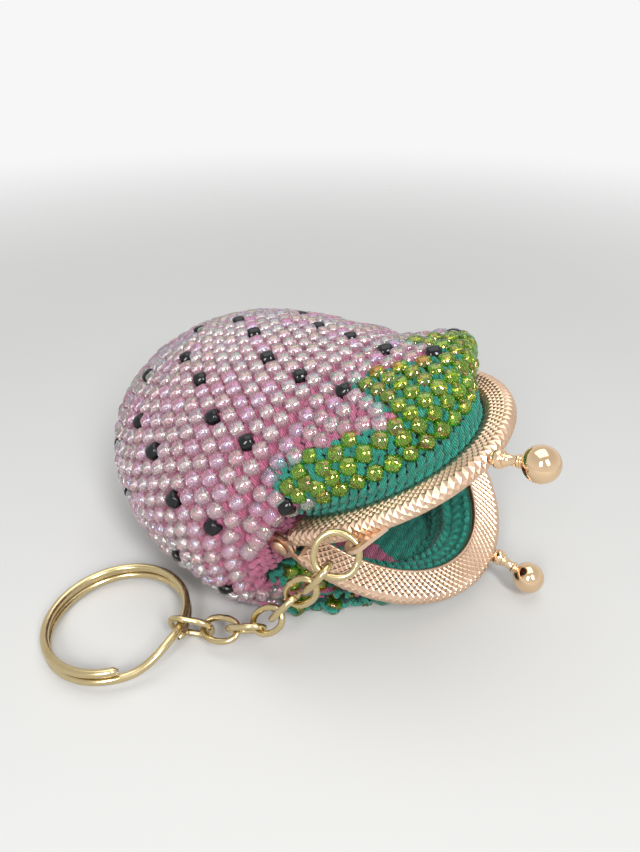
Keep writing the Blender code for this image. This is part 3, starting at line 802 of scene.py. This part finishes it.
def add_stamps(name, template, places, yarn, slot):
    add_piece(name, stamped(template, places), yarn, slot)


beyond = len(through_bead[0])
hanging = (
    through_bead[0] + between_beads[0],
    through_bead[1] + [tuple(corner + beyond for corner in face) for face in between_beads[1]],
)
add_stamps("bag_bead_yarn", hanging, beads["bag"]["pink"] + beads["bag"]["black"], pink_yarn, PINK_SLOT)
for side in flaps:
    pink_and_black = beads[side]["pink"] + beads[side]["black"]
    add_stamps(f"{side}_pink_bead_yarn", hanging, pink_and_black, pink_yarn, PINK_SLOT)
    add_stamps(f"{side}_green_bead_yarn", hanging, beads[side]["green"], teal_yarn, TEAL_SLOT)

# %% Stitches of the flaps
STITCH_PITCH, BARE_PITCH = 0.0022, 0.0020


def row_slant(number):
    """The stitches of one row lean one way, and those of the next row the other."""
    return radians(48 if number % 2 else -48)


def stitch_row(spot, v, start, end, pitch, number):
    """Places along one row; every second row is set half a stitch on."""
    return even_row(lambda u: spot(u, v), start, end, pitch, 0.5 * (number % 2))


def stitch_place(point, normal, row, slant, depth):
    axis = Matrix.Rotation(slant + maker.uniform(-0.12, 0.12), 3, normal) @ row
    side = normal.cross(axis).normalized()
    place = (Matrix((axis, side, normal)).transposed() * maker.uniform(0.93, 1.06)).to_4x4()
    place.translation = point - normal * depth
    return place


def flap_stitches(paths, spot, lie_at):
    """Places of the bare rope-like rows along the frame, and of the stitches under the beads."""
    bare, teal, pink = [], [], []
    for number, distance in enumerate((0.0010, 0.0032)):
        slant = radians(52 if number % 2 else 48)
        for share in stitch_row(spot, distance, 0.012, 0.988, BARE_PITCH, number):
            bare.append(stitch_place(*lie_at(share, distance), slant, 0.0008))
    for number in range(18):
        distance = BARE + 0.0009 + 0.0020 * number
        for share in stitch_row(spot, distance, 0.005, 0.995, STITCH_PITCH, number):
            if distance > flap_length(paths, share) - 0.0003:
                continue
            place = stitch_place(*lie_at(share, distance), row_slant(number), 0.0019)
            (teal if distance < leaf_edge(paths, share) + 0.0018 else pink).append(place)
    return bare, teal, pink


for side, flap in flaps.items():
    bare, teal, pink = flap_stitches(*flap)
    add_stamps(f"{side}_bare_rows", rope, bare, teal_yarn, TEAL_SLOT)
    add_stamps(f"{side}_teal_stitches", stitch, teal, teal_yarn, TEAL_SLOT)
    add_stamps(f"{side}_pink_stitches", stitch, pink, pink_yarn, PINK_SLOT)
    print(side, "stitches:", len(teal), "teal,", len(pink), "pink")

# %% Stitches inside the mouth and beside the hinge
inside_teal, inside_pink = [], []
for number, distance in enumerate((0.0022, 0.0044, 0.0080, 0.0102, 0.0124, 0.0146)):
    inward = 0.0014 + 0.0040 * min(distance / 0.0050, 1)
    for share in stitch_row(back_spot, distance, 0.05, 0.95, STITCH_PITCH, number):
        point, normal, row = back_lie(share, distance)
        place = stitch_place(point - normal * inward, -normal, row, row_slant(number), 0)
        (inside_teal if distance < leaf_edge(front_paths, share) - 0.0010 else inside_pink).append(place)
add_stamps("inside_teal_stitches", stitch, inside_teal, teal_yarn, TEAL_SLOT)
add_stamps("inside_pink_stitches", stitch, inside_pink, pink_yarn, PINK_SLOT)

gusset_stitches = []
for spot in gussets.values():
    for number in range(8):
        along = 0.06 + 0.100 * number
        for across in stitch_row(spot, along, -0.05, 1.05, STITCH_PITCH, number):
            laid = lie(spot, across, along, 0.02, 0.02)
            gusset_stitches.append(stitch_place(*laid, row_slant(number), 0.0017))
add_stamps("gusset_stitches", stitch, gusset_stitches, pink_yarn, PINK_SLOT)

# %% [markdown]
# ## The fabric itself
# Under the beads lies a crocheted cloth a few millimetres thick. It is a closed shell: its outside follows
# the rounds a little below the bead holes, and its inside, which shows through the mouth, is raised into
# rows of stitches by moving its points, because a bump map alone would leave the rows flat at the edge of
# the opening.


# %% Cloth shells
RIDGE, NOTCH = 0.0026, 0.0031


def stitch_height(along_row, across_rows):
    """Rows of slanting stitches: ridges along a row, notched between one stitch and the next."""
    ridge = abs(sin(pi * across_rows / RIDGE))
    notch = abs(sin(pi * (along_row / NOTCH + 0.5 * across_rows / RIDGE)))
    return 0.0006 * ridge**0.6 * (0.35 + 0.65 * notch**0.7)


def layers(laid, top, bottom):
    """The outer and the inner point of a cloth at one place."""
    point, normal, _ = laid
    return point - normal * top, point - normal * bottom


def shell(grid):
    """A closed cloth from a grid of outer and inner points, joined along its rim."""
    outer, faces = skin([[pair[0] for pair in row] for row in grid])
    inner = [pair[1] for row in grid for pair in row]
    shift, wide, tall = len(outer), len(grid[0]), len(grid)
    faces += [tuple(corner + shift for corner in reversed(face)) for face in faces]
    last = (tall - 1) * wide
    rim = list(range(wide)) + [i * wide + wide - 1 for i in range(1, tall)]
    rim += list(range(last + wide - 2, last - 1, -1)) + [i * wide for i in range(tall - 2, 0, -1)]
    for a, b in zip(rim, rim[1:] + rim[:1]):
        faces.append((b, a, a + shift, b + shift))
    return mesh_from(outer + inner, faces)


def bag_shell():
    rounds = [MOUTH_BEHIND - 0.0010, MOUTH_BEHIND + 0.0004]
    rounds += [BELLY_BEHIND + POUCH_TAIL * cos(radians(a)) for a in range(101, 3, -1)]
    turns = [2 * pi * j / 240 for j in range(241)]
    return shell([
        [layers(bag_lie(a, behind), 0.0021, 0.0040 + stitch_height(a * 0.033, behind * 1.15)) for a in turns]
        for behind in rounds
    ])


def paint_shade_outside(mesh, finishes):
    """A cloth's outside lies deep between the beads: darker finishes, added after the others, paint its
    shade.
    """
    for finish in finishes:
        mesh.materials.append(finish)
    count = len(mesh.vertices) // 2
    for face in mesh.polygons:
        if max(face.vertices) < count:
            face.material_index += len(finishes)


def gusset_shell(spot):
    rows = [[lie(spot, -0.15 + 1.3 * j / 24, 0.03 * k, 0.02, 0.02) for j in range(25)] for k in range(29)]
    return shell([[layers(laid, 0.0026, 0.0036) for laid in row] for row in rows])


cloths = {"bag_cloth": bag_shell(), **{name: gusset_shell(spot) for name, spot in gussets.items()}}
for name, cloth in cloths.items():
    add_piece(name, cloth, pink_yarn, PINK_SLOT)
    paint_shade_outside(cloth, [painted_shade_pink_yarn])


# %% Cloth of the flaps
TUCKED_ROWS, CLOTH_STEPS = (-0.0022, -0.0014, -0.0006), 70


def flap_shell(paths, lie_at):
    grid = []
    for k in range(FLAP_COLUMNS + 1):
        share = k / FLAP_COLUMNS
        length = flap_length(paths, share)
        row = []
        for distance in [*TUCKED_ROWS, *(length * i / CLOTH_STEPS for i in range(CLOTH_STEPS + 1))]:
            ease = min(max(distance / 0.0050, 0), 1)
            top = 0.0002 + 0.0028 * ease
            relief = stitch_height(share * 0.088, distance) * min(1, 0.4 + ease)
            thick = (0.0008 + 0.0012 * ease) + relief
            row.append(layers(lie_at(share, distance), top, top + thick))
        grid.append(row)
    return shell(grid)


def paint_leaves(mesh, paths):
    """Teal under the leaves and pink beyond them, face by face; both insides share one pattern."""
    wide = len(TUCKED_ROWS) + CLOTH_STEPS + 1
    mesh.materials.append(teal_yarn)
    mesh.materials.append(pink_yarn)
    count = len(mesh.vertices) // 2
    for face in mesh.polygons:
        corner = face.vertices[0] % count
        share = corner // wide / FLAP_COLUMNS
        step = corner % wide - len(TUCKED_ROWS)
        distance = flap_length(paths, share) * step / CLOTH_STEPS
        outside = min(face.vertices) < count
        edge = leaf_edge(paths, share) + 0.0022 if outside else leaf_edge(front_paths, share) - 0.0010
        face.material_index = 0 if distance < max(edge, BARE) else 1


for side, (paths, _, lie_at) in flaps.items():
    cloth = flap_shell(paths, lie_at)
    paint_leaves(cloth, paths)
    paint_shade_outside(cloth, [painted_shade_teal_yarn, painted_shade_pink_yarn])
    add_piece(f"{side}_cloth", cloth, None, TEAL_SLOT)
print("cloth points:", len(pieces["bag_cloth"].data.vertices), len(pieces["front_cloth"].data.vertices))

# %% [markdown]
# ## Embossed channels
# The frame is thin plate, pressed with a fine diamond pattern before it is bent, and its edge is cut in
# small teeth that grip the yarn. The CAD channel stays as the body of the metal. A skin on it carries the
# pattern: every second point stands up, so each diamond is a real little pyramid that catches the light.
# On the faces where the two channels meet, the low points sink into the metal, so that the frame can shut.


# %% Diamond skin
DIAMOND, TOOTH, EDGE_SINK = 0.00145, 0.00075, 0.0004
OUTER_RELIEF, MEETING_RELIEF = (0.00003, 0.00027), (-0.00012, 0.00013)  # low and high points
MEETING_REACH = 0.0006


def channel_profile():
    """A channel's outside as (depth into the arch, height over the contact plane), half a diamond apart."""
    corners = [(INNER_WALL, CONTACT), (0.0008, CONTACT), (0.0001, 0.0005), (0, 0.0010), (0, JAW - 0.0013)]
    corners += [(0.0002, JAW - 0.0006), (0.0006, JAW - 0.0002), (0.0013, JAW), (OUTER_WALL, JAW)]
    reach = [0.0]
    for (a, b), (c, d) in zip(corners, corners[1:]):
        reach.append(reach[-1] + hypot(c - a, d - b))
    count = round(reach[-1] / (DIAMOND / 2))
    steps = [reach[-1] * i / count for i in range(count + 1)]
    deep = np.interp(steps, reach, [a for a, _ in corners])
    out = np.interp(steps, reach, [b for _, b in corners])
    return list(zip(deep.tolist(), out.tolist()))


def diamond_skin(half_width, axes):
    profile = channel_profile()
    ends = CHANNEL_START, pi - CHANNEL_START
    stations = even_row(lambda a: arch(half_width, a, 0.001, 0), *ends, DIAMOND / 2, 0.5)
    rows = []
    for i, angle in enumerate(stations):
        row = []
        for j, (deep, out) in enumerate(profile):
            before, after = profile[max(j - 1, 0)], profile[min(j + 1, len(profile) - 1)]
            along = Vector((after[0] - before[0], after[1] - before[1])).normalized()
            facing = Vector((-along.y, along.x))
            stand = (OUTER_RELIEF if out > MEETING_REACH else MEETING_RELIEF)[(i + j) % 2]
            edge = j == len(profile) - 1
            tooth = TOOTH if edge and i % 2 else 0.0
            sink = EDGE_SINK if edge else 0.0
            inward, outward = deep + facing.x * stand + tooth, out + facing.y * stand - sink
            row.append(axes @ arch(half_width, angle, inward, outward))
        rows.append(row)
    points, faces = skin(rows)
    triangles = []
    for k, (a, b, c, d) in enumerate(faces):
        i, j = divmod(k, len(profile) - 1)
        triangles += [(a, b, c), (a, c, d)] if (i + j) % 2 else [(a, b, d), (b, c, d)]
    return mesh_from(points, triangles, smooth=False)


for side, channel in channels.items():
    add_piece(f"{side}_diamonds", diamond_skin(*channel), rose_gold, "rose_gold")


# %% Smooth lip inside each channel
def lip(half_width, axes):
    section = ((-0.0003, CONTACT - 0.0001), (0.0003, CONTACT), (0.0006, 0.0006), (0.0006, 0.0018),
               (0.0003, 0.0019), (0.0002, 0.0007))
    rows = []
    for i in range(121):
        angle = CHANNEL_START + (pi - 2 * CHANNEL_START) * i / 120
        rows.append([axes @ arch(half_width, angle, INNER_WALL + deep, out) for deep, out in section])
    return mesh_from(*skin(rows, closed_rows=True))


for side, channel in channels.items():
    add_piece(f"{side}_lip", lip(*channel), rose_gold, "rose_gold")
print("diamonds on a channel:", len(pieces["front_diamonds"].data.polygons) // 4)

# %% [markdown]
# ## Ball clasps and rivets
# These are turned parts, so each is a profile spun about its axis. A clasp has a foot, a rounded collar, a
# stem, a small ring under the ball, and the ball. Their places are the CAD's own.

# %% Ball clasps
BALL, BALL_REACH, STEM, BALL_OFFSET = 0.0033, 0.0088, 0.0010, 0.0041


def half_ring(along, out, long, tall, steps):
    """Half an ellipse, for a rounded ring in a turned profile."""
    turns = [pi * (1 - i / steps) for i in range(steps + 1)]
    return [(along + long * cos(t), out + tall * sin(t)) for t in turns]


def clasp_profile():
    profile = [(0.0, 0.0), (0.0, 0.00125), (0.0004, 0.0013), *half_ring(0.0013, 0.0012, 0.0009, 0.0006, 10)]
    profile += [(0.0023, 0.0014), (0.0026, 0.0013), (0.0028, STEM), (0.0046, STEM * 0.94)]
    profile += half_ring(0.0050, STEM, 0.0003, 0.0003, 6)
    neck = asin(STEM / BALL)
    for i in range(33):
        t = pi - neck - (pi - neck) * i / 32
        profile.append((BALL_REACH + BALL * cos(t), BALL * sin(t)))
    return profile


def clasp(axes):
    seat = FRAME_RISE * sqrt(1 - (BALL_OFFSET / HALF_WIDTH) ** 2) + 0.0003
    lean = Matrix.Rotation(radians(10), 4, "Y")
    place = axes @ Matrix.Translation((seat, -BALL_OFFSET, JAW / 2)) @ lean
    mesh = mesh_from(*turned(clasp_profile(), 48))
    mesh.transform(place)
    return mesh


for side, (_, axes) in channels.items():
    add_piece(f"{side}_ball", clasp(axes), polished_gold, "polished_gold")


# %% Rivets
def rivet(node):
    """A domed rivet of the CAD rivet's own length, on the hinge axis."""
    axis = Vector((0, cos(FRAME_ROLL), sin(FRAME_ROLL)))
    spans = [(vertex.co - HINGE).dot(axis) for vertex in nodes[node].data.vertices]
    tall, head, shank = 0.0007, 0.0019, 0.0009
    low, high = min(spans) + tall, max(spans) - tall
    dome = [(tall * sin(t), head * cos(t)) for t in [pi / 2 * i / 8 for i in range(9)]]
    profile = [(low - x, r) for x, r in reversed(dome)] + [(low, shank)]
    profile += [(high, shank)] + [(high + x, r) for x, r in dome]
    mesh = mesh_from(*turned(profile, 32))
    mesh.transform(Matrix.Translation(HINGE) @ axis.to_track_quat("X", "Z").to_matrix().to_4x4())
    return mesh


for side in ("near", "far"):
    add_piece(f"{side}_rivet_head", rivet(f"{side}_rivet"), rose_gold, "rose_gold")

# %% [markdown]
# ## Chain and key ring
# Each link is a bent wire whose two ends meet. The CAD link is measured, its longest, middle and shortest
# spans, and a wire of the same thickness is swept round the same oval, with a thin groove where the ends
# meet.


# %% Links
def measured(node):
    """Middle, axes and spans of a CAD node, longest first."""
    points = np.array([vertex.co for vertex in nodes[node].data.vertices])
    middle = points.mean(0)
    _, axes = np.linalg.eigh(np.cov((points - middle).T))
    axes = axes[:, ::-1]
    spans = (points - middle) @ axes
    middle = middle + axes @ ((spans.max(0) + spans.min(0)) / 2)
    return Vector(middle), [Vector(axes[:, i]) for i in range(3)], spans.max(0) - spans.min(0)


def link(node):
    middle, (long, wide, _), spans = measured(node)
    wire = float(spans[2])
    half_long, half_wide = (float(spans[0]) - wire) / 2, (float(spans[1]) - wire) / 2
    power = 0.70 if node == "chain_link_7" else 0.90
    path, radii = [], []
    steps = 72
    for i in range(steps):
        angle = 2 * pi * (i + 0.5) / steps
        along, across = power_of(cos(angle), power), power_of(sin(angle), power)
        path.append(middle + long * half_long * along + wide * half_wide * across)
        radii.append(wire / 2 * (0.93 if i in (steps // 4 - 1, steps // 4) else 1.0))
    return mesh_from(*skin(tube_rows(path, radii, 16, True), closed_rows=True, closed_ends=True))


link_nodes = ["jump_ring"] + [f"chain_link_{k}" for k in range(1, 8)]
for node in link_nodes:
    add_piece(f"{node}_wire", link(node), pale_brass, "pale_brass")


# %% Split ring
def split_ring():
    """Two turns of wire that climb over each other, in the plane of the CAD ring."""
    middle, (_, _, normal), _ = measured("split_ring")
    if normal.z < 0:
        normal.negate()
    joint = next(j for j in frame["joints"] if j["name"] == "split_ring_swing")
    away = middle - Vector(joint["pos_m"])
    x = (away - normal * away.dot(normal)).normalized()
    y = normal.cross(x)
    wire, gap, across = 0.0017, 0.00045, 0.0300
    radius = (across - wire) / 2
    climb, start, end_gap = radians(42), radians(121), radians(6)
    total = 4 * pi - climb - 2 * end_gap
    climb_at = 2 * pi - climb - end_gap
    path, radii = [], []
    steps = 220
    for i in range(steps + 1):
        angle = total * i / steps
        share = min(max((angle - climb_at) / climb, 0), 1)
        lift = (wire + gap) * (share * share * (3 - 2 * share) - 0.5)
        turn = start + climb + end_gap + angle
        path.append(middle + x * radius * cos(turn) + y * radius * sin(turn) + normal * lift)
        radii.append(wire / 2 * min(1, 0.3 + min(i, steps - i) * 0.7))
    return mesh_from(*skin(tube_rows(path, radii, 16, False), closed_rows=True))


add_piece("split_ring_wire", split_ring(), pale_brass, "pale_brass")

# %% [markdown]
# ## Floor
# A plain pale floor carries the shadow and fades into the pale room further out.

# %% Floor
floor_finish, floor_tree, floor_shader = new_finish("pale_floor")
mottled(floor_tree, floor_shader, "Base Color", (0.55, 0.55, 0.54), (0.58, 0.58, 0.57), 3.0)
set_numbers(floor_shader, Roughness=0.8)
floor_place = add_node(floor_tree, "TexCoord")
floor_reach = add_node(floor_tree, "VectorMath", "LENGTH")
floor_fade = add_node(floor_tree, "MapRange", From_Min=0.12, From_Max=0.55, To_Min=1.0, To_Max=0.0)
floor_fade.interpolation_type = "SMOOTHSTEP"
join(floor_place, "Object", floor_reach, 0)
join(floor_reach, "Value", floor_fade, "Value")
join(floor_fade, "Result", floor_shader, "Alpha")
floor_mesh = mesh_from([(-1, -1, 0), (1, -1, 0), (1, 1, 0), (-1, 1, 0)], [(0, 1, 2, 3)])
floor = bpy.data.objects.new("floor", floor_mesh)
scene.collection.objects.link(floor)
floor_mesh.materials.append(floor_finish)
floor.location.z = -0.0002

# %% [markdown]
# ## What moves with what
# The bag, the back flap and the back channel stay still on the pouch, and the front channel's skin, lip
# and ball ride on the front frame. The other front pieces and the cloth beside the hinge keep their places
# baked into their points. Each wire of the chain rides on its own link.

# %% Finishes of the CAD nodes that stay
for side in channels:
    for node, finish in ((f"{side}_jaw", rose_gold), (f"{side}_packing_cord", paper)):
        nodes[node].data.materials.clear()
        nodes[node].data.materials.append(finish)

# %% Ride, bake and replace
for name, piece in pieces.items():
    if name.startswith(("bag_", "back_", "inside_")) or name.endswith("_rivet_head"):
        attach(piece, "pouch")
    elif name in ("front_diamonds", "front_lip", "front_ball"):
        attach(piece, "front_frame")
    elif name.startswith("front_"):
        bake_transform(piece)
    elif "gusset" in name:
        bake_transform(piece)
for node in [*link_nodes, "split_ring"]:
    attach(pieces[f"{node}_wire"], node)
    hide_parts(node)
for name, node in (("bag_cloth", "pouch_body"), ("front_cloth", "front_flap"), ("back_cloth", "back_flap"),
                   ("front_ball", "front_clasp"), ("back_ball", "back_clasp"),
                   ("near_rivet_head", "near_rivet"), ("far_rivet_head", "far_rivet")):
    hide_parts(node)
